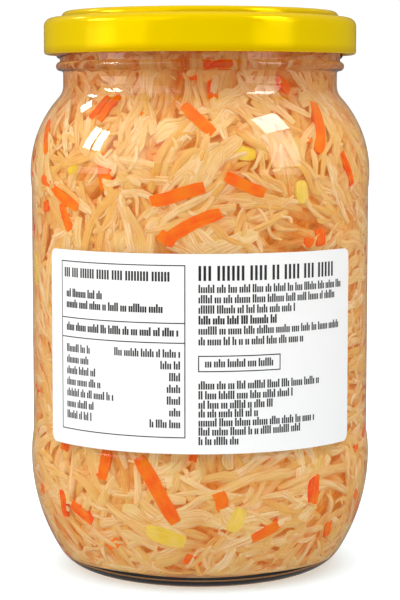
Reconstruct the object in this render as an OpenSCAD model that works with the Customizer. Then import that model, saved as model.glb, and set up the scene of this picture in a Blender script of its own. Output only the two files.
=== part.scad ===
// A full glass jar of sauerkraut: a twist-off jar with a recessed label panel between two bulges,
// its painted steel cap, its paper label and the packed kraut inside.
// Millimetres, +Z up. The origin is on the jar's axis, at the plane it stands on.
// The label's middle faces -Y.

/* [Jar body] */
// Diameter over the lower bulge, the widest place
body_d = 96; // [80:0.5:116]
// Height of the lower bulge's widest ring
lower_z = 32.3; // [28:0.1:39]
// How far the label panel lies inside the lower bulge
panel_in = 0.6; // [0.4:0.1:0.9]
// How far the upper bulge lies inside the lower one
upper_in = 0.3; // [0.2:0.1:0.3]
// Radius of the curve from the heel up to the lower bulge
side_r = 51.6; // [45:0.2:60]
// Radius of the heel, where the side turns under
heel_r = 11; // [9:0.5:13]
// Radius of the curve from the lower bulge up to the label panel
bulge_r = 35; // [30:1:40]
// Radius of the shoulder
shoulder_r = 31.3; // [29:0.1:38]
// Thickness of the glass wall
wall = 2.4; // [2:0.1:2.9]
// Thickness of the glass floor at its rim
floor_t = 5; // [4:0.1:6]
// Rise of the inner floor at its middle
floor_rise = 0.8; // [0:0.1:1.5]
// Width of the flat ring that the jar stands on
foot_w = 3; // [2:0.5:5]
// Rise of the hollow under the floor
punt = 1.8; // [1:0.1:3]

/* [Neck and finish] */
// Outside diameter of the neck
neck_d = 76.8; // [64:0.2:84]
// Radius of the hollow curve from the shoulder into the neck
neck_curve = 4.7; // [4:0.1:6]
// Height of the jar up to its rim
glass_h = 154; // [140:0.5:186]
// Distance from the rim down to the middle of the bead
bead_drop = 13; // [12.5:0.1:15]
// Distance from the middle of the bead down to where the shoulder's hollow curve begins
neck_len = 5.4; // [2:0.1:12]
// How far the bead stands out of the neck
bead_out = 2; // [1.6:0.1:2.4]
// Height of the bead
bead_h = 2.6; // [2.2:0.1:3]
// How far the wall behind the threads stands out of the neck
finish_out = 0.9; // [0.6:0.1:1.1]
// Radius of the rounded edges of the rim
rim_r = 0.6; // [0.3:0.1:0.8]

/* [Threads] */
// Number of threads
thread_n = 6; // [4:1:6]
// Radius of a thread's rounded section
thread_r = 1; // [0.8:0.1:1.2]
// Angle that one thread spans round the jar
thread_span = 50; // [40:2:56]
// Slope of a thread
thread_tilt = 2.8; // [2:0.1:4]
// Distance from the rim down to the middle of a thread
thread_drop = 9.2; // [8.8:0.1:9.6]
// Turn of the first thread's middle from +X
thread_turn = 25; // [0:1:59]

/* [Cap] */
// Thickness of the cap's sheet
sheet = 0.4; // [0.3:0.05:0.6]
// Room between the threads and the skirt
skirt_gap = 3.4; // [2.6:0.1:4]
// Height of the skirt, from the sealing step down
skirt_h = 10.2; // [9:0.1:11]
// Radius of the skirt's top corner
corner_r = 2.4; // [2:0.1:2.6]
// Radius of the rolled hem
hem_r = 0.9; // [0.7:0.1:1]
// How far the middle panel stands above the sealing step
raise = 1.8; // [1.2:0.1:2.2]
// Radius of the middle panel's edge
raise_r = 1.5; // [1:0.1:1.6]
// How far the rim reaches under the sealing step
seat_w = 0.4; // [0.3:0.1:0.8]

/* [Contents] */
// Room between the contents and the glass
fill_gap = 0.05; // [0.03:0.01:0.1]
// Room between the contents and the underside of the cap
headspace = 3.8; // [3:0.1:3.9]

/* [Label] */
// Width of the label, measured round the panel
label_w = 95.3; // [70:0.1:115]
// Height of the label
label_h = 52.6; // [40:0.1:60]
// Height of the label's lower edge above the start of the panel
label_up = 0.5; // [0.2:0.1:6]
// Thickness of the label
label_t = 0.15; // [0.1:0.01:0.2]
// Radius of the label's corners
label_r = 2.2; // [1:0.1:4]
// Thickness of the glue under the label
glue_t = 0.02; // [0.01:0.01:0.04]

/* [Hidden] */
$fn = 96;
steps = 8;      // points along a short arc of an outline

lower_r = body_d / 2;
upper_r = lower_r - upper_in;
panel_r = lower_r - panel_in;
neck_r = neck_d / 2;
finish_r = neck_r + finish_out;
bead_z = glass_h - bead_drop;
thread_z = glass_h - thread_drop;

// Angle at which the heel takes over from the side, and the place of the heel's centre
heel_a = asin((lower_z - heel_r) / (side_r - heel_r));
heel_x = lower_r - side_r + (side_r - heel_r) * cos(heel_a);
// Angle at which the inner heel meets the floor
floor_a = asin((heel_r - floor_t) / (heel_r - wall));
floor_x = heel_x + (heel_r - wall) * cos(floor_a);
// Angles at which the two bulges run into the panel
bulge_a = acos(1 - panel_in / bulge_r);
upper_a = acos(1 - (panel_in - upper_in) / shoulder_r);
// Height at which the hollow curve into the neck ends, the angle at which the shoulder turns into it,
// and the height of the upper bulge's widest ring, which follows from both
neck_z = glass_h - bead_drop - neck_len;
neck_a = acos((neck_r + neck_curve - upper_r + shoulder_r) / (shoulder_r + neck_curve));
upper_z = neck_z - (shoulder_r + neck_curve) * sin(neck_a);

panel_z = lower_z + bulge_r * sin(bulge_a);
label_z = panel_z + label_up;
label_in = panel_r + glue_t;
label_half = label_w / label_in * 90 / PI;
// The corner circles reach this little past the label's edges, so that no sliver is left between them
label_past = 0.05;
corner_in = label_r - label_past;

cap_r = finish_r + thread_r + skirt_gap;
step_z = glass_h + sheet;
cap_z = step_z - skirt_h;
cap_top = step_z + raise;
// The middle panel starts where the rim's flat top has reached seat_w under the step
panel_edge = finish_r - rim_r - seat_w + sheet;
fill_z = cap_top - sheet - headspace;

// Points along an arc of radius r round [x, z], from angle a to angle b
function arc(x, z, r, a, b, n = steps) =
    [for (i = [0:n]) let (t = a + (b - a) * i / n) [x + r * cos(t), z + r * sin(t)]];

// Points along a shallow dome from the axis out to radius x, falling from z + rise to z
function dome(x, z, rise, n = steps) =
    [for (i = [0:n]) [x * i / n, z + rise * (1 - pow(i / n, 2))]];

// The jar's side from the lower bulge to the neck, moved inwards by t
function side(t) = concat(
    arc(lower_r - bulge_r, lower_z, bulge_r - t, 0, bulge_a, 4),
    arc(upper_r - shoulder_r, upper_z, shoulder_r - t, -upper_a, neck_a, 2 * steps),
    arc(neck_r + neck_curve, neck_z, neck_curve + t, 180 + neck_a, 180)
);

// The curve below the lower bulge, moved inwards by t, from where it leaves the heel's arc at angle a
function foot(t, a) = concat(
    arc(heel_x, heel_r, heel_r - t, -a, -heel_a),
    arc(lower_r - side_r, lower_z, side_r - t, -heel_a, 0)
);

// The outside from the middle of the hollow base up to the rim's outer edge
function outside() = concat(
    dome(heel_x - foot_w, 0, punt),
    foot(0, 90),
    side(0),
    [[neck_r, bead_z - bead_h / 2]],
    arc(neck_r + bead_out - bead_h / 2, bead_z, bead_h / 2, -90, 90),
    [[finish_r, bead_z + bead_h / 2]],
    arc(finish_r - rim_r, glass_h - rim_r, rim_r, 0, 90, 4)
);

// The inside from the middle of the floor up to z = top, with room g to the glass
function inside(top, g = 0) = concat(
    dome(floor_x - g, floor_t + g, floor_rise),
    foot(wall + g, floor_a),
    side(wall + g),
    [[neck_r - wall - g, top]]
);

function reversed(list) = [for (i = [len(list) - 1:-1:0]) list[i]];

// The cap's outline, moved inwards by t
function cap_line(t) = concat(
    [[cap_r - t, cap_z + hem_r]],
    arc(cap_r - corner_r, step_z - corner_r, corner_r - t, 0, 90),
    [[panel_edge - t, step_z - t]],
    arc(panel_edge - raise_r, cap_top - raise_r, raise_r - t, 0, 90),
    [[0, cap_top - t]]
);

module glass_jar() {
    color("lightcyan", 0.4) {
        rotate_extrude()
            polygon(concat(outside(), reversed(inside(glass_h))));
        for (i = [0:thread_n - 1])
            rotate([0, 0, thread_turn + i * 360 / thread_n])
                thread();
    }
}

// One thread: a stretch of a ring, tilted about the line out to its middle
module thread() {
    translate([0, 0, thread_z])
        rotate([thread_tilt, 0, 0])
            rotate([0, 0, -thread_span / 2])
                rotate_extrude(angle = thread_span)
                    translate([finish_r, 0])
                        circle(thread_r);
}

module lid() {
    color("gold")
        rotate_extrude() {
            polygon(concat(cap_line(0), reversed(cap_line(sheet))));
            translate([cap_r - hem_r, cap_z + hem_r])
                circle(hem_r);
        }
}

module kraut() {
    color("burlywood")
        rotate_extrude()
            polygon(concat(inside(fill_z, fill_gap), [[0, fill_z]]));
}

module label() {
    color("white")
        difference() {
            rotate([0, 0, -90 - label_half])
                rotate_extrude(angle = 2 * label_half)
                    translate([label_in, label_z])
                        square([label_t, label_h]);
            for (way = [-1, 1], end = [0, 1])
                label_corner(way, end);
        }
}

// What is cut off to round one corner of the label: way is -1 or 1 for its side,
// end is 0 for the lower edge and 1 for the upper
module label_corner(way, end) {
    down = 1 - 2 * end;
    deep = 2 * label_r;
    rotate([0, 0, -90 + way * (label_half - corner_in / label_in * 180 / PI)])
        translate([label_in - label_r, 0, label_z + end * label_h + down * corner_in])
            rotate([0, 90, 0])
                difference() {
                    translate([down * label_r, way * label_r, label_r])
                        cube([2 * label_r, 2 * label_r, deep], center = true);
                    translate([0, 0, -label_r])
                        cylinder(r = label_r, h = 2 * deep);
                }
}

glass_jar();
lid();
kraut();
label();
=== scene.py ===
"""A full glass jar of sauerkraut: glass, painted twist-off cap, paper label, and shreds in brine."""

import ast
import math
import random

import bpy
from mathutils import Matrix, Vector, noise


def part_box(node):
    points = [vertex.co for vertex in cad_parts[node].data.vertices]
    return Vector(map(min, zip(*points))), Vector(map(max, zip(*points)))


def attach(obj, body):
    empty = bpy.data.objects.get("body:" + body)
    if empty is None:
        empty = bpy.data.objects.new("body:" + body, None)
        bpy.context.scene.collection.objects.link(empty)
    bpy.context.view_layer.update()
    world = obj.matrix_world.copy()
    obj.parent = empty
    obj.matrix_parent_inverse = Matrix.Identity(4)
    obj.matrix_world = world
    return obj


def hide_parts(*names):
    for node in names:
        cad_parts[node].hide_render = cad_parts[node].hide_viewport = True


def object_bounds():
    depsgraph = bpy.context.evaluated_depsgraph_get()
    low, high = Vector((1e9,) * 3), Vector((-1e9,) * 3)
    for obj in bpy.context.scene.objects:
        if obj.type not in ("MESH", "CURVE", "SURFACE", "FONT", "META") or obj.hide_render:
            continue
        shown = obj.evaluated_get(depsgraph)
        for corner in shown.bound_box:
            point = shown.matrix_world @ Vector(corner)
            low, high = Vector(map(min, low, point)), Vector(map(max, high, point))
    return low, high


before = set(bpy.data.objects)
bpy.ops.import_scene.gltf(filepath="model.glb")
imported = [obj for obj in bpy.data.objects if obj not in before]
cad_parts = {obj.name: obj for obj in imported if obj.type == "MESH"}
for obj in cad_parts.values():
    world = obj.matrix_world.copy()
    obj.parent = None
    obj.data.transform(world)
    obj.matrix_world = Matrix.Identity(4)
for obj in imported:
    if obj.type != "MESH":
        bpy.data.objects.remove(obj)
cad_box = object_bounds()


# ---------------------------------------------------------------------------------------------
# Glass jar. Clear flint glass, blown in a two-part iron mould, so the surface is fire-polished
# and smooth. The body has two bulges with the label panel between them, a thick floor, and a
# finish with a bead and six slanting threads for a twist-off cap.
# ---------------------------------------------------------------------------------------------
MM = 0.001  # one millimetre in metres
# Sizes in millimetres, from the body up to the threads. Each _in is how far a band of the side lies
# inside the body's widest line, and each _out how far the finish or bead stands out of the neck.
body_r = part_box("glass_jar")[1].x / MM
wall = 2.4
panel_in = 0.6
upper_in = 0.3
lower_z = 32.3
side_r = 51.6
heel_r = 11
bulge_r = 35
shoulder_r = 31.3
floor_t = 5
floor_rise = 0.8
foot_w = 3
punt = 1.8
neck_r = 38.4
neck_curve = 4.7
neck_len = 5.4
glass_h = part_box("glass_jar")[1].z / MM
bead_drop = 13
bead_out = 2
bead_h = 2.6
finish_out = 0.9
rim_r = 0.6
thread_n = 6
thread_r = 1
thread_span = 50
thread_tilt = 2.8
thread_drop = 9.2
thread_turn = 25
fillet_r = 0.7
glass_steps = 240

panel_r = body_r - panel_in
upper_r = body_r - upper_in
finish_r = neck_r + finish_out
bead_z = glass_h - bead_drop
# The angles and places at which one arc of the outline runs into the next.
heel_a = math.degrees(math.asin((lower_z - heel_r) / (side_r - heel_r)))
heel_x = body_r - side_r + (side_r - heel_r) * math.cos(math.radians(heel_a))
bulge_a = math.degrees(math.acos(1 - panel_in / bulge_r))
upper_a = math.degrees(math.acos(1 - (panel_in - upper_in) / shoulder_r))
neck_z = bead_z - neck_len
both_r = shoulder_r + neck_curve
neck_a = math.degrees(math.acos((neck_r + neck_curve - upper_r + shoulder_r) / both_r))
upper_z = neck_z - both_r * math.sin(math.radians(neck_a))


def arc(x, z, r, start, end, gap=0.9):
    """Points along an arc round (x, z), about gap millimetres apart."""
    steps = max(3, math.ceil(abs(math.radians(end - start)) * r / gap))
    angles = [math.radians(start + (end - start) * i / steps) for i in range(steps + 1)]
    return [(x + r * math.cos(a), z + r * math.sin(a)) for a in angles]


def line(x0, z0, x1, z1, gap=3.0):
    """Points along a straight line, without its ends."""
    steps = max(1, math.ceil(math.hypot(x1 - x0, z1 - z0) / gap))
    return [(x0 + (x1 - x0) * i / steps, z0 + (z1 - z0) * i / steps) for i in range(1, steps)]


def dome(x, z, rise, gap=2.0):
    """Points from the axis out to x, falling from z + rise to z."""
    steps = math.ceil(x / gap)
    return [(x * i / steps, z + rise * (1 - (i / steps) ** 2)) for i in range(steps + 1)]


def joined(*parts):
    """One outline from several, with straight stretches between them filled in."""
    points = []
    for part in parts:
        if points:
            points += line(*points[-1], *part[0])
        points += part
    return points


def side(inset):
    """The jar's side from the heel to the neck, moved inwards."""
    return joined(
        arc(body_r - side_r, lower_z, side_r - inset, -heel_a, 0),
        arc(body_r - bulge_r, lower_z, bulge_r - inset, 0, bulge_a),
        arc(upper_r - shoulder_r, upper_z, shoulder_r - inset, -upper_a, neck_a),
        arc(neck_r + neck_curve, neck_z, neck_curve + inset, 180 + neck_a, 180),
    )


def inner(inset, top):
    """The inside of the wall from the middle of the floor up to the height top, moved inwards."""
    floor_a = math.degrees(math.asin((heel_r - floor_t) / (heel_r - wall)))
    floor_x = heel_x + (heel_r - wall) * math.cos(math.radians(floor_a))
    return joined(
        dome(floor_x - inset, floor_t + inset, floor_rise),
        arc(heel_x, heel_r, heel_r - wall - inset, -floor_a, -heel_a),
        side(wall + inset),
        [(neck_r - wall - inset, top)],
    )


fill_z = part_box("kraut")[1].z / MM
outside = joined(
    dome(heel_x - foot_w, 0, punt),
    arc(heel_x, heel_r, heel_r, -90, -heel_a),
    side(0),
    arc(neck_r + fillet_r, bead_z - bead_h / 2 - fillet_r, fillet_r, 180, 90, 0.15),
    arc(neck_r + bead_out - bead_h / 2, bead_z, bead_h / 2, -90, 90, 0.25),
    [(finish_r, bead_z + bead_h / 2)],
    line(finish_r, bead_z + bead_h / 2, finish_r, glass_h - rim_r, 0.25),
    arc(finish_r - rim_r, glass_h - rim_r, rim_r, 0, 90, 0.2),
    [(neck_r - wall, glass_h)],
)
wetted = list(reversed(inner(0, fill_z)))


def add(tree, kind, *values, **settings):
    """Add one node and return its first live output. Settings are its own properties. Values fill
    its live inputs in order, and a dict among them fills inputs by name. Sockets are linked."""
    node = tree.nodes.new(kind)
    for name, value in settings.items():
        setattr(node, name, value)
    live = [socket for socket in node.inputs if socket.enabled]
    for place, value in enumerate(values):
        pairs = value.items() if isinstance(value, dict) else [(place, value)]
        for key, item in pairs:
            socket = live[key] if isinstance(key, int) else next(s for s in live if s.name == key)
            for piece in item if isinstance(item, list) else [item]:
                if isinstance(piece, bpy.types.NodeSocket):
                    tree.links.new(piece, socket)
                elif piece is not None:
                    socket.default_value = piece
    return next((socket for socket in node.outputs if socket.enabled), None) or node


OPERATIONS = {
    ast.Add: "ADD", ast.Sub: "SUBTRACT", ast.Mult: "MULTIPLY", ast.Div: "DIVIDE",
    ast.Pow: "POWER", ast.Mod: "FLOORED_MODULO",
    "sin": "SINE", "cos": "COSINE", "sqrt": "SQRT", "abs": "ABSOLUTE", "floor": "FLOOR",
    "min": "MINIMUM", "max": "MAXIMUM", "less": "LESS_THAN", "greater": "GREATER_THAN",
}


def formula(tree, text, **names):
    """Math nodes that work out text, such as "r * cos(a)", from the sockets and numbers in names."""

    def build(part):
        if isinstance(part, ast.Constant):
            return part.value
        if isinstance(part, ast.Name):
            return names[part.id]
        if isinstance(part, ast.UnaryOp):
            return add(tree, "ShaderNodeMath", build(part.operand), -1.0, operation="MULTIPLY")
        if isinstance(part, ast.BinOp):
            terms, key = (part.left, part.right), type(part.op)
        else:
            terms, key = part.args, part.func.id
        return add(tree, "ShaderNodeMath", *map(build, terms), operation=OPERATIONS[key])

    return build(ast.parse(text).body[0].value)


def new_tree(name, **inputs):
    """A Geometry Nodes tree with a geometry input and output, and the named inputs given by type.
    Returns the tree and a dict of the input sockets."""
    tree = bpy.data.node_groups.new(name, "GeometryNodeTree")
    tree.interface.new_socket("Geometry", in_out="INPUT", socket_type="NodeSocketGeometry")
    tree.interface.new_socket("Geometry", in_out="OUTPUT", socket_type="NodeSocketGeometry")
    for label, kind in inputs.items():
        tree.interface.new_socket(label, in_out="INPUT", socket_type="NodeSocket" + kind)
    group = tree.nodes.new("NodeGroupInput")
    return tree, {socket.name: socket for socket in group.outputs if socket.name}


def outline(name, points):
    """A mesh of edges only, along (x, z) points in millimetres."""
    mesh = bpy.data.meshes.new(name)
    edges = [(i, i + 1) for i in range(len(points) - 1)]
    mesh.from_pydata([(x * MM, 0, z * MM) for x, z in points], edges, [])
    return mesh


def grown(name, tree, start, material, smooth=40, **values):
    """A plain mesh object that a tree makes from the mesh in start."""
    piece = bpy.data.objects.new(name, start)
    bpy.context.collection.objects.link(piece)
    modifier = piece.modifiers.new("grow", "NODES")
    modifier.node_group = tree
    values["Material"] = material
    for item in tree.interface.items_tree:
        if item.in_out == "INPUT" and item.name in values:
            modifier[item.identifier] = values.pop(item.name)
    assert not values, values
    seen = piece.evaluated_get(bpy.context.evaluated_depsgraph_get())
    result = bpy.data.meshes.new_from_object(seen)
    piece.modifiers.clear()
    piece.data = result
    result.name = name
    result.set_sharp_from_angle(angle=math.radians(smooth))
    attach(piece, "root")
    return piece


# The tree that turns an outline into a closed shape. Each row of its grid is one point of the
# outline, and each column one step round the axis.
turn_tree, turn = new_tree(
    "Turned shape", Steps="Int", Material="Material", Lining="Material", Lining_from="Int",
    Threads="Float", Thread_radius="Float", Thread_height="Float", Thread_turn="Float",
    Thread_span="Float", Thread_slope="Float", Thread_root="Float")
rows = add(turn_tree, "GeometryNodeAttributeDomainSize", turn["Geometry"], component="MESH")
columns = formula(turn_tree, "n + 1", n=turn["Steps"])
sheet = add(turn_tree, "GeometryNodeMeshGrid", 1.0, 1.0, rows, columns)
here = add(turn_tree, "GeometryNodeInputIndex")
row = formula(turn_tree, "floor(i / n + 0.00001)", i=here, n=columns)
angle = formula(turn_tree, "(i - row * n) / steps * whole", i=here, row=row, n=columns,
                steps=turn["Steps"], whole=math.tau)
place = add(turn_tree, "GeometryNodeInputPosition")
spot = add(turn_tree, "GeometryNodeSampleIndex", turn["Geometry"], place, row,
           data_type="FLOAT_VECTOR")
split = add(turn_tree, "ShaderNodeSeparateXYZ", spot).node
r, z = split.outputs["X"], split.outputs["Z"]
# A thread is a half-round ridge on the finish. off is the angle from its middle, rise the height
# over its slanting centre line, and ends lets it run out over its last 0.05 radians.
pitch = formula(turn_tree, "whole / max(n, 1)", n=turn["Threads"], whole=math.tau)
off = formula(turn_tree, "(a - turn + pitch / 2) % pitch - pitch / 2", a=angle,
              turn=turn["Thread_turn"], pitch=pitch)
rise = formula(turn_tree, "z - height - r * sin(off) * slope", z=z, height=turn["Thread_height"],
               r=r, off=off, slope=turn["Thread_slope"])
ends = formula(turn_tree, "max(0, min(1, (span / 2 - abs(off)) / 0.05))",
               span=turn["Thread_span"], off=off)
bump = formula(
    turn_tree, "sqrt(max(0, t * t - d * d)) * ends * less(abs(r - root), 0.00001) * greater(n, 0.5)",
    t=turn["Thread_radius"], d=rise, ends=ends, r=r, root=turn["Thread_root"], n=turn["Threads"])
across = formula(turn_tree, "(r + b) * cos(a)", r=r, b=bump, a=angle)
along = formula(turn_tree, "(r + b) * sin(a)", r=r, b=bump, a=angle)
turned = add(turn_tree, "ShaderNodeCombineXYZ", across, along, z)
# The outline's points from Lining_from on are the lining, where there is one.
lined = formula(turn_tree, "greater(row + 0.5, first) * greater(first, 0.5)", row=row,
                first=turn["Lining_from"])
shape = add(turn_tree, "GeometryNodeStoreNamedAttribute", sheet, {"Name": "lined", "Value": lined},
            data_type="FLOAT", domain="POINT")
shape = add(turn_tree, "GeometryNodeSetPosition", shape, {"Position": turned})
shape = add(turn_tree, "GeometryNodeMergeByDistance", shape, {"Distance": 0.000001})
shape = add(turn_tree, "GeometryNodeFlipFaces", shape)
shape = add(turn_tree, "GeometryNodeSetShadeSmooth", shape)
shape = add(turn_tree, "GeometryNodeRealizeInstances", shape)
shape = add(turn_tree, "GeometryNodeSetMaterial", shape, {"Material": turn["Material"]})
lined = add(turn_tree, "GeometryNodeInputNamedAttribute", "lined", data_type="FLOAT")
lined = formula(turn_tree, "greater(a, 0.99)", a=lined)
shape = add(turn_tree, "GeometryNodeSetMaterial", shape,
            {"Selection": lined, "Material": turn["Lining"]})
add(turn_tree, "NodeGroupOutput", shape)


def linear(code):
    """The linear colour of an sRGB hex code such as "e5c501"."""
    parts = [int(code[i:i + 2], 16) / 255 for i in (0, 2, 4)]
    return (*[c / 12.92 if c <= 0.04045 else ((c + 0.055) / 1.055) ** 2.4 for c in parts], 1.0)


def new_material(name):
    """An empty node material and its tree."""
    material = bpy.data.materials.new(name)
    material.use_nodes = True
    material.node_tree.nodes.clear()
    return material, material.node_tree


def see_through(name, tint, ior, shadow):
    """Clear material that refracts what is seen, and lets the lamps' light straight through. Its
    waves are about 22 mm long."""
    material, tree = new_material(name)
    spots = add(tree, "ShaderNodeTexCoord").node.outputs["Object"]
    waves = add(tree, "ShaderNodeTexNoise", {"Vector": spots, "Scale": 45.0, "Detail": 1.0})
    bump = add(tree, "ShaderNodeBump", {"Strength": 0.02, "Distance": 0.002, "Height": waves})
    clear = add(tree, "ShaderNodeBsdfPrincipled", {
        "Base Color": linear(tint), "Roughness": 0.0, "IOR": ior, "Transmission Weight": 1.0,
        "Normal": bump})
    through = add(tree, "ShaderNodeBsdfTransparent", linear(shadow))
    lamp = add(tree, "ShaderNodeLightPath").node.outputs["Is Shadow Ray"]
    add(tree, "ShaderNodeOutputMaterial", add(tree, "ShaderNodeMixShader", lamp, clear, through))
    return material


# Flint glass: no colour to speak of in a thin wall and the faintest waviness from the mould.
# Where brine wets the inside, light passes from glass to brine, whose index is nearly the same,
# so that face hardly reflects, and bends light by the ratio of the two.
glass_ior = 1.5
brine_ior = 1.34
flint_glass = see_through("clear_flint_glass_fire_polished", "fbfdfc", glass_ior, "f8faf9")
wet_glass = see_through("flint_glass_wetted_by_brine", "fffdf8", glass_ior / brine_ior, "fffdf8")

glass = grown(
    "jar_glass", turn_tree, outline("glass_outline", outside + wetted), flint_glass,
    Steps=glass_steps, Lining=wet_glass, Lining_from=len(outside), Threads=float(thread_n),
    Thread_radius=thread_r * MM,
    Thread_height=(glass_h - thread_drop) * MM, Thread_turn=math.radians(thread_turn),
    Thread_span=math.radians(thread_span), Thread_slope=math.tan(math.radians(thread_tilt)),
    Thread_root=finish_r * MM)
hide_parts("glass_jar")


# ---------------------------------------------------------------------------------------------
# Cap. Tinplate, deep-drawn and lacquered glossy yellow, with a rolled hem at the foot of the
# skirt, a rounded corner and a raised middle panel. It is turned on to the threads.
# ---------------------------------------------------------------------------------------------
# Sizes in millimetres. The two easings soften the foot of the raised panel.
sheet_t = 0.4
skirt_gap = 3.4
skirt_h = 10.2
corner_r = 2.4
hem_r = 0.9
raise_h = 1.8
raise_r = 1.5
seat_w = 0.4
easing_in = 0.35
easing_up = 0.25
cap_steps = 240

cap_r = finish_r + thread_r + skirt_gap
step_z = glass_h + sheet_t
cap_z = step_z - skirt_h
cap_top = step_z + raise_h
panel_edge = finish_r - rim_r - seat_w + sheet_t


def cap_line(inset):
    """The cap from the hem up and in to the axis, moved inwards."""
    return joined(
        arc(cap_r - corner_r, step_z - corner_r, corner_r - inset, 0, 90, 0.25),
        [(panel_edge - inset + easing_in, step_z - inset)],
        [(panel_edge - inset, step_z + easing_up - inset)],
        arc(panel_edge - raise_r, cap_top - raise_r, raise_r - inset, 10, 90, 0.25),
        [(0, cap_top - inset)],
    )


hem_a = math.degrees(math.acos((hem_r - sheet_t) / hem_r))
cap_outline = joined(
    list(reversed(cap_line(sheet_t))),
    arc(cap_r - hem_r, cap_z + hem_r, hem_r, hem_a, 360, 0.15),
    cap_line(0),
)

# Lacquer: rolled on the flat sheet and stoved before it is drawn, so it is glossy and even, but
# for a drift of tone over 17 mm. A faint orange peel about 1 mm across softens the lights, and
# painted shade darkens it towards the curl at the hem.
lacquer, tree = new_material("yellow_lacquered_tinplate")
spots = add(tree, "ShaderNodeTexCoord").node.outputs["Object"]
cloud = add(tree, "ShaderNodeTexNoise", {"Vector": spots, "Scale": 60.0, "Detail": 3.0})
tone = add(tree, "ShaderNodeMix", cloud, {"A": linear("dcba00"), "B": linear("e1c000")},
           data_type="RGBA")
height = add(tree, "ShaderNodeSeparateXYZ", spots).node.outputs["Z"]
# Painted shade: the lacquer darkens over the lowest 2.4 mm of the skirt, towards the hem's curl.
hem_shade = add(tree, "ShaderNodeMapRange", height, {
    "From Min": (cap_z + 2.4) * MM, "From Max": (cap_z + 0.7) * MM, "To Max": 0.8})
tone = add(tree, "ShaderNodeMix", hem_shade, {"A": tone, "B": linear("c49c00")}, data_type="RGBA")
peel = add(tree, "ShaderNodeTexNoise", {"Vector": spots, "Scale": 900.0, "Detail": 1.0})
bump = add(tree, "ShaderNodeBump", {"Strength": 0.05, "Distance": 0.0002, "Height": peel})
paint = add(tree, "ShaderNodeBsdfPrincipled", {
    "Base Color": tone, "Metallic": 0.2, "Roughness": 0.16, "Specular IOR Level": 0.22,
    "Specular Tint": linear("ffd800"), "Normal": bump})
add(tree, "ShaderNodeOutputMaterial", paint)

cap = grown("cap", turn_tree, outline("cap_outline", cap_outline), lacquer, Steps=cap_steps)
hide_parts("lid")


# ---------------------------------------------------------------------------------------------
# Brine and core. The jar is filled to just under the cap with cloudy yellow brine, which wets
# the glass, so its surface reaches a little way into the wall. Behind the shreds that press
# against the glass, the imported kraut can't be told apart, and is one mass, darkened with
# painted shade and the brine's tint.
# ---------------------------------------------------------------------------------------------
brine_into_wall = 0.12
brine_steps = 192
core_in = 4.0
core_down = 1
core_steps = 96

# Brine: the wetted glass has already bent the light, so the liquid itself only tints it, with
# clouds about 33 mm across.
brine_liquid, tree = new_material("cloudy_brine")
spots = add(tree, "ShaderNodeTexCoord").node.outputs["Object"]
cloud = add(tree, "ShaderNodeTexNoise", {"Vector": spots, "Scale": 30.0, "Detail": 1.0})
tone = add(tree, "ShaderNodeMix", cloud, {"A": linear("f6e3c6"), "B": linear("f6e6cc")},
           data_type="RGBA")
add(tree, "ShaderNodeOutputMaterial", add(tree, "ShaderNodeBsdfTransparent", tone))
brine_outline = inner(-brine_into_wall, fill_z) + [(0, fill_z)]
brine = grown("brine", turn_tree, outline("brine_outline", brine_outline), brine_liquid,
              Steps=brine_steps)

# Packed kraut: matt, wet and matted, in strands about 4 mm apart. Light that soaks through the
# mass reaches it from all sides, which a little light of its own stands for.
mass, tree = new_material("packed_kraut_in_the_depth")
spots = add(tree, "ShaderNodeTexCoord").node.outputs["Object"]
strands = add(tree, "ShaderNodeTexNoise",
              {"Vector": spots, "Scale": 260.0, "Detail": 3.0, "Distortion": 1.5})
# Its darker orange is painted shade of the deep gaps, with the brine's tint.
tone = add(tree, "ShaderNodeMix", strands, {"A": linear("c89020"), "B": linear("eab844")},
           data_type="RGBA")
bump = add(tree, "ShaderNodeBump", {"Strength": 0.5, "Distance": 0.001, "Height": strands})
add(tree, "ShaderNodeOutputMaterial",
    add(tree, "ShaderNodeBsdfPrincipled", {
        "Base Color": tone, "Roughness": 0.6, "Specular IOR Level": 0.08,
        "Emission Color": linear("f8b02c"), "Emission Strength": 0.16,
        "Normal": bump}))
core_outline = inner(core_in, fill_z - core_down) + [(0, fill_z - core_down)]
core = grown("kraut_core", turn_tree, outline("core_outline", core_outline), mass, Steps=core_steps)
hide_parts("kraut")


# ---------------------------------------------------------------------------------------------
# Shreds. White cabbage cut on a slicer into strips of 1 to 3 mm, limp from salt, which lie
# packed in bundles along the glass. Each kind of shred is one mesh, grown by one tree: tubes
# are bent and flattened on a flat map of the wall, and the map is then wrapped on to the wall.
# ---------------------------------------------------------------------------------------------
shred_tree, shred = new_tree(
    "Shreds", Wall="Object", Seed="Int", Nearest="Float", Wave="Float", Blunt="Float", Tip="Float",
    Square="Float", Material="Material")
wall_object = add(shred_tree, "GeometryNodeObjectInfo", shred["Wall"]).node.outputs["Geometry"]
wall_curve = add(shred_tree, "GeometryNodeMeshToCurve", wall_object)
wall_length = add(shred_tree, "GeometryNodeCurveLength", wall_curve)
points = add(shred_tree, "GeometryNodeMeshToPoints", shred["Geometry"])
index = add(shred_tree, "GeometryNodeInputIndex")
points = add(shred_tree, "GeometryNodeStoreNamedAttribute", points, {"Name": "shred", "Value": index},
             data_type="INT", domain="POINT")
points = add(shred_tree, "GeometryNodeStoreNamedAttribute", points,
             {"Name": "place", "Value": add(shred_tree, "GeometryNodeInputPosition")},
             data_type="FLOAT_VECTOR", domain="POINT")
points = add(shred_tree, "GeometryNodeSetPosition", points, {"Position": (0, 0, 0)})
tube = add(shred_tree, "GeometryNodeMeshCylinder", {
    "Vertices": 8, "Side Segments": 7, "Radius": 1.0, "Depth": 1.0}, fill_type="TRIANGLE_FAN")
tubes = add(shred_tree, "GeometryNodeInstanceOnPoints", points, {"Instance": tube})
tubes = add(shred_tree, "GeometryNodeRealizeInstances", tubes)

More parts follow.
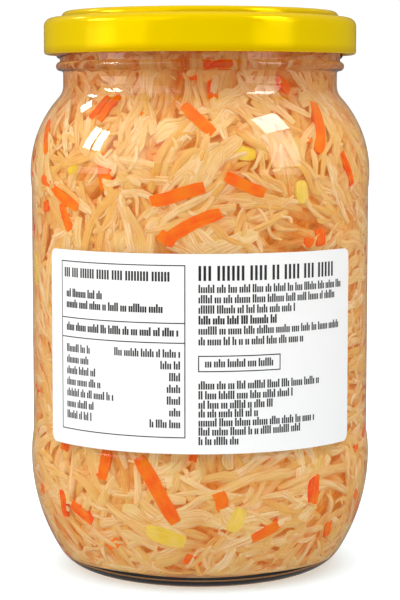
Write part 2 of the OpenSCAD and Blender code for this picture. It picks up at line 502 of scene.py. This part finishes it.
# What each shred was given, and three random numbers from its own draws of the seed: where its
# waves start, how fast they turn, and how near the glass it may lie.
length, width, thick, bow, heading = [
    add(shred_tree, "GeometryNodeInputNamedAttribute", name, data_type="FLOAT")
    for name in ("length", "width", "thick", "bow", "heading")]
place = add(shred_tree, "GeometryNodeInputNamedAttribute", "place", data_type="FLOAT_VECTOR")
number = add(shred_tree, "GeometryNodeInputNamedAttribute", "shred", data_type="INT")
near_most = formula(shred_tree, "near * 4", near=shred["Nearest"])
draws = []
limits = [(0.0, math.tau), (3.0, 7.0), (shred["Nearest"], near_most)]
for draw, (lowest, highest) in enumerate(limits, 1):
    seed = formula(shred_tree, "seed * 100 + draw", seed=shred["Seed"], draw=float(draw))
    draws.append(add(shred_tree, "FunctionNodeRandomValue",
                     {"Min": lowest, "Max": highest, "ID": number, "Seed": seed}, data_type="FLOAT"))
phase, turns, near = draws

# A tube's own coordinates: u runs along it, c across and s through its thickness. They become
# distances on the flat map, s round the wall and t up it, and a depth behind the glass.
ref_r = (body_r - wall) * MM
local = add(shred_tree, "ShaderNodeSeparateXYZ", add(shred_tree, "GeometryNodeInputPosition")).node
centre = add(shred_tree, "ShaderNodeSeparateXYZ", place).node
u = local.outputs["Z"]
c = formula(shred_tree, "max(-1, min(1, c * k))", c=local.outputs["X"], k=shred["Square"])
s = formula(shred_tree, "max(-1, min(1, s * k))", s=local.outputs["Y"], k=shred["Square"])
ends = formula(shred_tree, "1 - (1 - tip) * abs(u * 2) ** blunt", u=u, blunt=shred["Blunt"],
               tip=shred["Tip"])
along = formula(shred_tree, "u * length", u=u, length=length)
swell = formula(shred_tree, "1 + wave * 150 * sin(u * turns * 2 + phase * 3)", u=u, turns=turns,
                phase=phase, wave=shred["Wave"])
beside = formula(
    shred_tree,
    "bow * length * (u * u * 4 - 0.3) + wave * sin(u * turns + phase) + c * width / 2 * ends * swell",
    bow=bow, length=length, u=u, wave=shred["Wave"], turns=turns, phase=phase, c=c, width=width,
    ends=ends, swell=swell)
into = formula(
    shred_tree,
    "max(near, depth + s * thick / 2 * ends + wave * 0.6 * sin(u * turns * 1.3 + phase * 2))",
    near=near, depth=centre.outputs["Z"], s=s, thick=thick, ends=ends, u=u, turns=turns, phase=phase,
    wave=shred["Wave"])
map_s = formula(shred_tree, "s + x * cos(h) - y * sin(h)", s=centre.outputs["X"], x=along, y=beside,
                h=heading)
map_t = formula(shred_tree, "max(0.0002, min(t + x * sin(h) + y * cos(h), full))",
                t=centre.outputs["Y"], x=along, y=beside, h=heading, full=wall_length)
# The map is wrapped on to the wall: t finds a spot on the wall line, the depth lies square to it,
# and s gives the angle round the axis.
sample = add(shred_tree, "GeometryNodeSampleCurve", {"Curves": wall_curve, "Length": map_t},
             mode="LENGTH", data_type="FLOAT").node
spot = add(shred_tree, "ShaderNodeSeparateXYZ", sample.outputs["Position"]).node
lean = add(shred_tree, "ShaderNodeSeparateXYZ", sample.outputs["Tangent"]).node
r = formula(shred_tree, "r - tz * d", r=spot.outputs["X"], tz=lean.outputs["Z"], d=into)
z = formula(shred_tree, "z + tx * d", z=spot.outputs["Z"], tx=lean.outputs["X"], d=into)
angle = formula(shred_tree, "s / r", s=map_s, r=ref_r)
wrapped = add(shred_tree, "ShaderNodeCombineXYZ", formula(shred_tree, "r * cos(a)", r=r, a=angle),
              formula(shred_tree, "r * sin(a)", r=r, a=angle), z)
fibre = add(shred_tree, "ShaderNodeCombineXYZ", along, formula(shred_tree, "c * w", c=c, w=width), phase)
tubes = add(shred_tree, "GeometryNodeStoreNamedAttribute", tubes, {"Name": "fibre", "Value": fibre},
            data_type="FLOAT_VECTOR", domain="POINT")
tubes = add(shred_tree, "GeometryNodeStoreNamedAttribute", tubes, {"Name": "depth", "Value": into},
            data_type="FLOAT", domain="POINT")
tubes = add(shred_tree, "GeometryNodeSetPosition", tubes, {"Position": wrapped})
tubes = add(shred_tree, "GeometryNodeFlipFaces", tubes)
tubes = add(shred_tree, "GeometryNodeSetShadeSmooth", tubes)
tubes = add(shred_tree, "GeometryNodeRealizeInstances", tubes)
tubes = add(shred_tree, "GeometryNodeSetMaterial", tubes, {"Material": shred["Material"]})
add(shred_tree, "NodeGroupOutput", tubes)

# The flat map's upright follows the inside of the jar, from near the floor's middle to just under
# the level.
wall_points = inner(0, fill_z - 0.5)[4:]
wall_guide = bpy.data.objects.new("wall_guide", outline("wall_guide", wall_points))
bpy.context.collection.objects.link(wall_guide)
lengths = [0.0]
for (x0, z0), (x1, z1) in zip(wall_points, wall_points[1:]):
    lengths.append(lengths[-1] + math.hypot(x1 - x0, z1 - z0))
girth = math.tau * ref_r / MM


def up_wall(height):
    """How far along the wall line, from the floor's middle, the wall reaches a height. The first
    fifth of its points are the floor's."""
    first = len(wall_points) // 5
    i = next(i for i, (_, z1) in enumerate(wall_points) if z1 > height and i > first)
    z0, z1 = wall_points[i - 1][1], wall_points[i][1]
    return lengths[i - 1] + (height - z0) / (z1 - z0) * (lengths[i] - lengths[i - 1])


def packed(seed, bundles, each, length, width, thick, depth, bow, spread, skip=None):
    """Shreds in bundles, each bundle near the lie of its neighbours. Two even steps, one round the
    wall and one up it, spread them with no gaps and no rows. With skip, none lie within that many
    degrees of the label's middle."""
    dice = random.Random(seed)
    rows = []
    step_round, step_up, margin = 0.754878, 0.569840, 4
    for i in range(bundles):
        s0 = (i * step_round + seed * 0.137) % 1 * girth
        t0 = margin + (i * step_up + seed * 0.313) % 1 * (lengths[-1] - 2 * margin)
        turn = s0 * MM / ref_r
        drift = noise.noise(Vector((math.cos(turn), math.sin(turn), t0 * MM / ref_r)) * 1.7)
        head = 3.2 * drift + dice.uniform(-0.7, 0.7)
        deep, bend = dice.uniform(*depth), dice.uniform(-bow, bow)
        for j in range(each):
            wide = dice.uniform(*width)
            off = (j - (each - 1) / 2) * wide * 0.9 + dice.uniform(-0.4, 0.4)
            slid = dice.uniform(-6, 6)
            rows.append((
                s0 + slid * math.cos(head) - off * math.sin(head),
                t0 + slid * math.sin(head) + off * math.cos(head),
                max(0.3, deep + dice.uniform(-0.4, 0.4)), head + dice.uniform(-spread, spread),
                dice.uniform(*length), wide, dice.uniform(*thick),
                bend + dice.uniform(-0.03, 0.03), dice.random()))
    if skip:
        rows = [row for row in rows if abs((row[0] / girth + 0.25 + 0.5) % 1 - 0.5) * 360 > skip]
    return rows


def placed(rows, thick, seed):
    """Bits at an azimuth from the label's middle and a height, with their heading in degrees. They
    are nearly straight."""
    dice, bow = random.Random(seed), 0.03
    return [(math.radians(azimuth - 90) * ref_r / MM, up_wall(height), deep, math.radians(heading),
             length, width, thick, dice.uniform(-bow, bow), tone)
            for azimuth, height, heading, length, width, deep, tone in rows]


def planted(name, rows, material, smooth=60, **values):
    """A piece of shreds from rows of place s, t and depth, heading, length, width, thickness, bow
    and tone, all lengths in millimetres."""
    mesh = bpy.data.meshes.new(name)
    mesh.from_pydata([(s * MM, t * MM, d * MM) for s, t, d, *_ in rows], [], [])
    stored = [("heading", 1), ("length", MM), ("width", MM), ("thick", MM), ("bow", 1), ("tone", 1)]
    for column, (label, unit) in enumerate(stored, 3):
        store = mesh.attributes.new(label, "FLOAT", "POINT")
        store.data.foreach_set("value", [row[column] * unit for row in rows])
    piece = grown(name, shred_tree, mesh, material, smooth, Wall=wall_guide, **values)


def vegetable(name, pale, full, vein, cloudy, deep, roughness, scatter, reach=1.5):
    """Wet cut vegetable: its tone differs from shred to shred, with fibres 0.7 mm wide and 6 mm
    long, and clouds 4 mm across. Further from the glass, where more brine lies over it, it takes
    the deep colour, painted shade between the shreds with the brine's tint, and towards the cap
    painted shade with some browning darkens it. In brine it hardly shines, and a little light of
    its own colour stands for what soaks through it."""
    material, tree = new_material(name)
    tone = add(tree, "ShaderNodeAttribute", attribute_name="tone").node.outputs["Fac"]
    fibre = add(tree, "ShaderNodeAttribute", attribute_name="fibre").node.outputs["Vector"]
    stretched = add(tree, "ShaderNodeMapping", fibre, {"Scale": (160.0, 1400.0, 7.0)})
    grain = add(tree, "ShaderNodeTexNoise", {"Vector": stretched, "Scale": 1.0, "Detail": 2.0})
    body = add(tree, "ShaderNodeMix", tone, {"A": linear(pale), "B": linear(full)}, data_type="RGBA")
    lines = add(tree, "ShaderNodeMapRange", grain, {"From Min": 0.45, "From Max": 0.65, "To Max": 0.7})
    body = add(tree, "ShaderNodeMix", lines, {"A": body, "B": linear(vein)}, data_type="RGBA")
    # Painted shade between the shreds, with the brine's tint: the deep colour grows with the depth
    # behind the glass.
    depth = add(tree, "ShaderNodeAttribute", attribute_name="depth").node.outputs["Fac"]
    depth_shade_and_tint = add(tree, "ShaderNodeMapRange", depth, {
        "From Min": 0.3 * MM, "From Max": 2.2 * MM, "To Max": 1.0})
    body = add(tree, "ShaderNodeMix", depth_shade_and_tint, {"A": body, "B": linear(deep)}, data_type="RGBA",
               blend_type="MULTIPLY")
    spots = add(tree, "ShaderNodeTexCoord").node.outputs["Object"]
    cloud = add(tree, "ShaderNodeTexNoise", {"Vector": spots, "Scale": 260.0, "Detail": 3.0})
    uneven = add(tree, "ShaderNodeMapRange", cloud, {"From Min": 0.4, "From Max": 0.7, "To Max": 0.6})
    body = add(tree, "ShaderNodeMix", uneven, {"A": body, "B": linear(cloudy)}, data_type="RGBA")
    # Painted shade under the cap, with some browning: darker and browner towards the cap.
    height = add(tree, "ShaderNodeSeparateXYZ", spots).node.outputs["Z"]
    cap_shade_and_browning = add(tree, "ShaderNodeMapRange", height, {
        "From Min": 126 * MM, "From Max": 148 * MM, "To Max": 0.8})
    body = add(tree, "ShaderNodeMix", cap_shade_and_browning, {"A": body, "B": linear("e09858")}, data_type="RGBA",
               blend_type="MULTIPLY")
    bump = add(tree, "ShaderNodeBump", {"Strength": 0.3, "Distance": 0.0003, "Height": grain})
    lit = add(tree, "ShaderNodeMix", 1.0, {"A": body, "B": linear("e7e7e7")}, data_type="RGBA",
              blend_type="MULTIPLY")
    flesh = add(tree, "ShaderNodeBsdfPrincipled", {
        "Base Color": lit, "Roughness": roughness, "Specular IOR Level": 0.08,
        "Subsurface Weight": scatter, "Subsurface Radius": (1.0, 0.85, 0.65),
        "Subsurface Scale": reach * MM,
        "Emission Color": body, "Emission Strength": 0.25, "Normal": bump})
    add(tree, "ShaderNodeOutputMaterial", flesh)
    return material


# Salted cabbage turns from white to a pale cream that lets light in; wide bits are leaf.
cabbage = vegetable(
    "salted_white_cabbage", pale="fffffa", full="f2ce88", vein="e8ac58", cloudy="f0da96",
    deep="f2ae2c", roughness=0.35, scatter=0.3)
leaf = vegetable(
    "salted_cabbage_leaf", pale="fefcf0", full="f4dca4", vein="e8b464", cloudy="eee2a0",
    deep="f2ae2c", roughness=0.35, scatter=0.3)
kinds = [
    ("cabbage_shreds", cabbage, dict(
        seed=3, bundles=240, each=5, length=(9, 26), width=(1.6, 3.0), thick=(1.0, 1.5),
        depth=(0.5, 1.5), bow=0.10, spread=0.4)),
    ("cabbage_slivers", cabbage, dict(
        seed=8, bundles=260, each=5, length=(4, 14), width=(0.9, 1.7), thick=(0.7, 1.1),
        depth=(0.4, 1.2), bow=0.14, spread=0.8)),
    ("cabbage_leaf_bits", leaf, dict(
        seed=5, bundles=130, each=2, length=(8, 20), width=(3.2, 5.2), thick=(0.7, 1.0),
        depth=(0.4, 1.8), bow=0.12, spread=0.4)),
    ("cabbage_middle_shreds", cabbage, dict(
        seed=12, bundles=240, each=5, length=(14, 32), width=(2.0, 3.1), thick=(1.2, 1.7),
        depth=(1.5, 2.6), bow=0.10, spread=0.3)),
    ("cabbage_inner_shreds", cabbage, dict(
        seed=17, bundles=240, each=5, length=(14, 32), width=(2.0, 3.2), thick=(1.3, 1.8),
        depth=(2.6, 3.8), bow=0.10, spread=0.3)),
]
for number, (name, flesh, bundling) in enumerate(kinds, 1):
    planted(name, packed(**bundling), flesh, Seed=number, Nearest=0.1 * MM, Wave=0.9 * MM, Blunt=7.0,
            Tip=0.6, Square=1.2)

# Carrot: julienne strips with flat cut sides, orange all through. Those in front lie at set
# places: azimuth from the label's middle, height, heading, length, width, depth and tone.
carrot = vegetable(
    "raw_carrot_strip", pale="fc4e00", full="ff8c00", vein="ff9000", cloudy="ffa800",
    deep="ff9830", roughness=0.3, scatter=0.2, reach=0.8)
carrot_places = [
    (-42.0, 129.2, 67, 7.8, 2.6, 0.9, 0.2), (-37.2, 129.2, 67, 9.0, 2.7, 0.9, 0.3),
    (-69.1, 121.3, -52, 11.8, 2.8, 0.9, 0.2), (-1.0, 126.4, -42, 12.1, 3.3, 0.9, 0.7),
    (5.4, 134.4, -92, 7.3, 3.6, 1.2, 0.1), (1.0, 137.9, -1, 14.2, 1.9, 1.7, 0.1),
    (37.4, 135.6, -39, 6.3, 3.1, 1.2, 0.2), (47.5, 124.2, -111, 15.3, 3.6, 0.9, 0.6),
    (59.3, 113.1, -60, 9.9, 2.4, 0.9, 0.0), (15.0, 109.6, -22, 11.6, 3.0, 0.9, 0.5),
    (-7.5, 107.1, 15, 14.8, 3.5, 0.9, 0.5), (-3.0, 99.1, 26, 17.0, 3.5, 0.9, 0.4),
    (-10.9, 95.7, -36, 4.8, 3.3, 0.9, 0.4), (-33.7, 112.9, -82, 9.7, 4.2, 1.5, 0.9),
    (-56.4, 107.0, -23, 19.3, 3.2, 1.05, 0.5), (-51.4, 100.4, -66, 8.1, 3.0, 0.9, 0.4),
    (-65.0, 102.8, -75, 3.0, 3.0, 1.2, 0.3), (-31.8, 98.7, -77, 2.9, 2.8, 1.5, 0.6),
    (-23.4, 127.2, 10, 5.1, 2.7, 1.5, 0.9), (44.6, 95.1, -89, 4.6, 3.2, 1.2, 0.3),
    (40.0, 121.3, 6, 4.8, 2.3, 1.5, 0.8), (39.7, 93.9, -13, 3.1, 2.4, 1.5, 0.6),
    (7.4, 141.3, -5, 9.7, 2.3, 1.2, 0.1), (-33.5, 34.7, -95, 8.2, 3.2, 1.05, 0.5),
    (-36.7, 32.7, 7, 5.8, 2.3, 1.5, 0.9), (-14.2, 29.1, -59, 20.0, 3.9, 0.9, 0.4),
    (-54.6, 22.1, -92, 7.5, 2.6, 0.9, 0.0), (-45.1, 20.6, -32, 8.3, 3.1, 0.9, 0.1),
    (-34.1, 12.8, 23, 4.8, 2.8, 1.5, 0.6), (7.0, 26.5, -72, 5.7, 3.6, 1.05, 0.6),
    (23.4, 17.2, 28, 9.0, 3.0, 0.9, 0.5), (41.5, 27.7, -90, 9.0, 3.9, 1.05, 0.0),
    (41.0, 27.5, -40, 6.7, 3.6, 1.5, 0.1), (53.6, 15.1, -78, 4.7, 2.2, 1.05, 0.4),
    (-2.6, 9.3, -25, 5.4, 3.4, 1.5, 0.5), (67.2, 35.6, -82, 2.5, 2.8, 1.2, 0.3),
    (-53.0, 38.0, -12, 3.3, 2.8, 1.2, 0.2), (-2.0, 38.1, -14, 2.3, 2.6, 1.5, 0.2),
    (-70.2, 24.1, -100, 2.6, 2.4, 1.2, 0.4), (69.7, 22.5, -42, 4.1, 2.4, 1.2, 0.4),
]
elsewhere = packed(
    seed=21, bundles=150, each=1, length=(6, 20), width=(2.4, 3.4), thick=(1.6, 2.2),
    depth=(0.9, 2.6), bow=0.03, spread=0.4, skip=72)
planted("carrot_strips", placed(carrot_places, thick=2.0, seed=5) + elsewhere, carrot, smooth=50,
        Seed=6, Nearest=0.02 * MM, Wave=0.2 * MM, Blunt=9.0, Tip=0.8, Square=1.5)

# Squash: a few short soft bits of yellow flesh, greener along the fibres.
squash = vegetable(
    "yellow_squash_bit", pale="f8ea48", full="fcf08c", vein="e4e050", cloudy="fcf4b0",
    deep="f4d050", roughness=0.3, scatter=0.4)
squash_places = [
    (15.4, 117.9, 0, 5.6, 4.1, 1.5, 0.3), (-48.2, 114.5, -82, 5.6, 4.6, 1.6, 0.2),
    (36.2, 107.5, -87, 6.0, 4.2, 0.9, 0.8), (-12.1, 16.6, -20, 11.5, 5.4, 0.9, 0.4),
    (12.5, 20.9, -116, 7.0, 4.6, 0.9, 0.8), (18.4, 36.3, -96, 5.0, 3.8, 2.3, 0.1),
]
elsewhere = packed(
    seed=33, bundles=26, each=1, length=(5, 11), width=(4, 5.2), thick=(2, 2.8),
    depth=(1.0, 2.4), bow=0.03, spread=0.4, skip=72)
planted("squash_bits", placed(squash_places, thick=2.2, seed=9) + elsewhere, squash, Seed=7,
        Nearest=0.02 * MM, Wave=0.2 * MM, Blunt=3.0, Tip=0.55, Square=1.25)
bpy.data.objects.remove(wall_guide)


# ---------------------------------------------------------------------------------------------
# Label. Coated white paper with rounded corners, glued on the panel. Its print is a boxed table
# on the left and lines of text on the right, all kept as plain rules and bars without letters.
# ---------------------------------------------------------------------------------------------
label_low, label_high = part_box("label")
label_w = 95.3
label_h = (label_high.z - label_low.z) / MM
label_r = 2.2
paper_t = 0.15
glue_t = 0.02
ink_t = 0.02
paper_in = panel_r + glue_t


def on_label(s, v, lift):
    """The place of a point s to the right of the label's middle and v below its top edge."""
    turn, r = s / paper_in, (paper_in + lift) * MM
    return (r * math.sin(turn), -r * math.cos(turn), label_high.z - v * MM)


def shell_piece(name, patches, base, thickness, material):
    """One mesh of closed flat patches on the label. A patch is rows of (s, v) points."""
    verts, faces = [], []
    for rows in patches:
        n, m = len(rows), len(rows[0])
        start = len(verts)
        for lift in (base, base + thickness):
            verts += [on_label(s, v, lift) for row in rows for s, v in row]
        back = n * m
        for i in range(n - 1):
            for j in range(m - 1):
                a = start + i * m + j
                faces.append((a, a + 1, a + m + 1, a + m))
                a += back
                faces.append((a, a + m, a + m + 1, a + 1))
        edge = list(range(m)) + [i * m + m - 1 for i in range(1, n)]
        edge += [(n - 1) * m + j for j in range(m - 2, -1, -1)] + [i * m for i in range(n - 2, 0, -1)]
        for a, b in zip(edge, edge[1:] + edge[:1]):
            faces.append((start + b, start + a, start + a + back, start + b + back))
    mesh = bpy.data.meshes.new(name)
    mesh.from_pydata(verts, [], faces)
    mesh.materials.append(material)
    piece = bpy.data.objects.new(name, mesh)
    bpy.context.collection.objects.link(piece)
    mesh.polygons.foreach_set("use_smooth", [True] * len(mesh.polygons))
    mesh.set_sharp_from_angle(angle=math.radians(40))
    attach(piece, "root")
    return piece


def bar(s0, s1, v0, v1):
    """A patch with straight edges, its columns close enough to follow the curve."""
    steps = max(1, math.ceil((s1 - s0) / 1.5))
    return [[(s0 + (s1 - s0) * j / steps, v) for j in range(steps + 1)] for v in (v0, v1)]


def sheet_rows():
    """The whole label: each column runs between edges that round off at the corners."""
    half, steps = label_w / 2, 96
    stations = sorted({-half + label_w * j / steps for j in range(steps + 1)}
                      | {side * (half - label_r * (1 - math.sin(a * math.pi / 16)))
                         for side in (-1, 1) for a in range(9)})
    inset = []
    for s in stations:
        past = max(0.0, abs(s) - (half - label_r))
        inset.append(label_r - math.sqrt(max(0.0, label_r ** 2 - past ** 2)))
    rows = 12
    return [[(s, cut + (label_h - 2 * cut) * i / rows) for s, cut in zip(stations, inset)]
            for i in range(rows + 1)]


# Paper: white and coated, so smooth and half matt, with the felt of its fibres about 0.7 mm across.
paper, tree = new_material("coated_white_paper")
spots = add(tree, "ShaderNodeTexCoord").node.outputs["Object"]
felt = add(tree, "ShaderNodeTexNoise", {"Vector": spots, "Scale": 1500.0, "Detail": 3.0})
tone = add(tree, "ShaderNodeMix", felt, {"A": linear("e4e2e0"), "B": linear("e8e6e4")},
           data_type="RGBA")
bump = add(tree, "ShaderNodeBump", {"Strength": 0.08, "Distance": 0.0001, "Height": felt})
add(tree, "ShaderNodeOutputMaterial",
    add(tree, "ShaderNodeBsdfPrincipled", {"Base Color": tone, "Roughness": 0.5, "Normal": bump}))

# Ink: black, offset-printed, and so thin that it covers a little unevenly, in specks of 0.4 mm.
ink, tree = new_material("black_offset_ink")
spots = add(tree, "ShaderNodeTexCoord").node.outputs["Object"]
cover = add(tree, "ShaderNodeTexNoise", {"Vector": spots, "Scale": 2500.0, "Detail": 2.0})
tone = add(tree, "ShaderNodeMix", cover, {"A": linear("0e0e10"), "B": linear("1c1c1e")},
           data_type="RGBA")
add(tree, "ShaderNodeOutputMaterial",
    add(tree, "ShaderNodeBsdfPrincipled", {"Base Color": tone, "Roughness": 0.45}))

label = shell_piece("label_paper", [sheet_rows()], 0.0, paper_t, paper)
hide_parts("label")

rule_t = 0.28
dice = random.Random(880)


def frame_rules(s0, s1, v0, v1, *between):
    """The rules of a box, with level rules at the heights between."""
    rules = [bar(s0, s1, v, v + rule_t) for v in (v0, *between, v1 - rule_t)]
    return rules + [bar(s, s + rule_t, v0, v1) for s in (s0, s1 - rule_t)]


def words(s0, s1, v, height, stroke, capitals=False, ends_right=False):
    """A line of text as ticks about the height v: words of upright ticks, pitch apart, some of them
    taller, with word spaces."""
    ticks, s = [], 0.0
    pitch = height * 0.28
    while s < s1 - s0:
        for _ in range(dice.choice((2, 3, 4, 5, 6, 7, 8, 5, 6))):
            if s + stroke > s1 - s0:
                break
            up = 0.15 * height if capitals else dice.choice((0, 0, 0, 0.3, 0.3)) * height
            ticks.append((s, s + stroke, v - height * 0.35 - up, v + height * 0.35))
            s += pitch
        s += pitch * 0.8
    shift = s1 - ticks[-1][1] if ends_right else s0
    return [bar(a + shift, b + shift, c, d) for a, b, c, d in ticks]


# Each style is a height, a stroke and whether it is all capitals. A line runs from s to s at v.
small, bold = (2.2, 0.43), (2.3, 0.5)
table_head, title = (3.0, 0.56, True), (4.6, 0.7, True)
prints = frame_rules(-42.4, -3.8, 2.9, 48.4, 18.0, 23.2)
prints += frame_rules(-0.5, 21.9, 26.6, 30.9)
lines = [
    (-41.1, -6.8, 6.2, table_head), (-40.3, -27.0, 11.8, bold), (-40.3, -9.2, 14.7, bold),
    (-40.3, -5.5, 20.8, bold), (-0.4, 41.1, 5.4, title), (-0.4, 44.1, 9.4, small),
    (-0.4, 41.5, 12.1, small), (-0.4, 26.5, 14.8, small), (-0.4, 20.8, 17.6, bold),
    (-0.4, 43.3, 20.3, small), (-0.4, 29.3, 23.1, small), (1.3, 20.4, 28.9, small),
    (-0.4, 34.8, 34.7, small), (-0.4, 25.7, 37.3, small), (-0.4, 20.0, 39.8, small),
    (-0.4, 15.8, 42.1, small), (-0.4, 33.1, 44.5, small), (-0.4, 28.2, 46.9, small),
    (-0.4, 10.6, 49.4, small),
]
for s0, s1, v, style in lines:
    prints += words(s0, s1, v, *style)
table_left, table_right = -40.3, -5.2
table = [(9, 18.3), (8.8, 5.7), (11.2, 3.6), (12.9, 3.6), (16.6, 3.6), (10.2, 3.3), (9.9, 8.3)]
for i, (name_w, value_w) in enumerate(table):
    prints += words(table_left, table_left + name_w, 26.6 + 3.0 * i, *small)
    prints += words(table_right - value_w, table_right, 26.4 + 3.1 * i, *small, ends_right=True)
shell_piece("label_print", prints, paper_t, ink_t, ink)


# ---------------------------------------------------------------------------------------------
# Studio. A white sweep with soft light from all round and a key light from the front left. A
# window with two panes at the left, and tall softboxes at the right, show in the glass.
# ---------------------------------------------------------------------------------------------
floor_half = 6.0
corners = [(x * floor_half, y * floor_half, 0) for x, y in ((-1, -1), (1, -1), (1, 1), (-1, 1))]
floor_mesh = bpy.data.meshes.new("floor")
floor_mesh.from_pydata(corners, [], [(0, 1, 2, 3)])
floor = bpy.data.objects.new("floor", floor_mesh)
bpy.context.collection.objects.link(floor)

# The sweep: matt white, faintly clouded about 0.3 m across, and cooler close to the jar, which
# takes the warm light that the contents throw on it. It glows a little, so it stays white.
sweep, tree = new_material("white_studio_sweep")
spots = add(tree, "ShaderNodeTexCoord").node.outputs["Object"]
cloud = add(tree, "ShaderNodeTexNoise", {"Vector": spots, "Scale": 3.0})
tone = add(tree, "ShaderNodeMix", cloud, {"A": linear("fdfdfe"), "B": linear("ffffff")},
           data_type="RGBA")
away = add(tree, "ShaderNodeVectorMath", spots, operation="LENGTH").node.outputs["Value"]
open_floor = add(tree, "ShaderNodeMapRange", away, {"From Min": 0.06, "From Max": 0.3})
tone = add(tree, "ShaderNodeMix", open_floor, {"A": linear("e8f7ff"), "B": tone},
           data_type="RGBA")
add(tree, "ShaderNodeOutputMaterial",
    add(tree, "ShaderNodeBsdfPrincipled", {
        "Base Color": tone, "Roughness": 0.7, "Specular IOR Level": 0.2,
        "Emission Color": linear("ffffff"), "Emission Strength": 0.3}))
floor_mesh.materials.append(sweep)
floor.visible_glossy = False

world = bpy.data.worlds.new("studio")
bpy.context.scene.world = world
world.use_nodes = True
tree = world.node_tree
tree.nodes.clear()
straight = add(tree, "ShaderNodeLightPath").node.outputs["Is Camera Ray"]
mirrored = add(tree, "ShaderNodeLightPath").node.outputs["Is Glossy Ray"]
sky = add(tree, "ShaderNodeTexCoord").node.outputs["Generated"]
sides = add(tree, "ShaderNodeSeparateXYZ", sky).node.outputs
# Brighter overhead, darker low at the back, and dimmer above the horizon in what the glass mirrors.
glow = formula(
    tree, "(0.4 + 0.74 * max(0, z)) * (1 - 0.5 * max(0, min(1, y * 2.5)) * (1 - max(0, z)))"
    " * (1 - 0.4 * m * greater(z, 0))", y=sides["Y"], z=sides["Z"], m=mirrored)
lighting = add(tree, "ShaderNodeBackground", linear("ffffff"), glow)
backdrop = add(tree, "ShaderNodeBackground", linear("ffffff"), 1.05)
add(tree, "ShaderNodeOutputWorld",
    add(tree, "ShaderNodeMixShader", straight, lighting, backdrop))

# Every lamp stands lamp_away metres from a point high in the jar and faces it.
middle = Vector((0, 0, cad_box[1].z * 0.7))
lamp_away = 1.2


def softbox(name, azimuth, elevation, wide, tall, radiance, diffuse=True, glossy=True):
    """A flat lamp seen from the jar at an azimuth right of the camera's side and an elevation, as
    large as the given angles, turned towards the jar."""
    a, e = math.radians(azimuth), math.radians(elevation)
    towards = Vector((math.sin(a) * math.cos(e), -math.cos(a) * math.cos(e), math.sin(e)))
    lamp = bpy.data.lights.new(name, "AREA")
    lamp.shape = "RECTANGLE"
    lamp.size = 2 * lamp_away * math.tan(math.radians(wide / 2))
    lamp.size_y = 2 * lamp_away * math.tan(math.radians(tall / 2))
    lamp.energy = radiance * lamp.size * lamp.size_y * math.pi
    stand = bpy.data.objects.new(name, lamp)
    stand.location = middle + towards * lamp_away
    stand.rotation_euler = towards.to_track_quat("Z", "Y").to_euler()
    stand.visible_diffuse = diffuse
    stand.visible_glossy = glossy
    bpy.context.collection.objects.link(stand)


softbox("window_left_pane", -84.4, 26.5, 6.2, 16, 24.0, diffuse=False)
softbox("window_right_pane", -75.6, 26.5, 6.2, 16, 24.0, diffuse=False)
softbox("window_high_pane", -120, 38, 7, 6, 16.0, diffuse=False)
softbox("low_panel_left", -58, 9, 40, 16, 1.2)
softbox("low_strip_left", -75, 3, 26, 5, 1.8, diffuse=False)
softbox("low_strip_right", 53, 3, 30, 5, 1.6, diffuse=False)
softbox("tall_panel_right_top", 63, 45, 18, 15, 14.0, diffuse=False)
softbox("tall_panel_right", 59, 22, 22, 30, 3.5, diffuse=False)
softbox("strip_behind_right", 124, 4, 20, 5, 3.0, glossy=False)
softbox("overhead", 0, 88, 70, 70, 1.25, glossy=False)
softbox("key", -45, 32, 40, 40, 1.2)

# A long lens at the height of the jar's shoulder, tipped down.
eye = bpy.data.cameras.new("camera")
eye.lens = 116.9
eye.sensor_width = 36
camera = bpy.data.objects.new("camera", eye)
camera_away = 0.5513
camera_height = 0.1306
camera_pitch = 5.749
camera.location = (0, -camera_away, camera_height)
camera.rotation_euler = (math.radians(90 - camera_pitch), 0, 0)
bpy.context.collection.objects.link(camera)
bpy.context.scene.camera = camera
bpy.context.scene.view_settings.view_transform = "Standard"
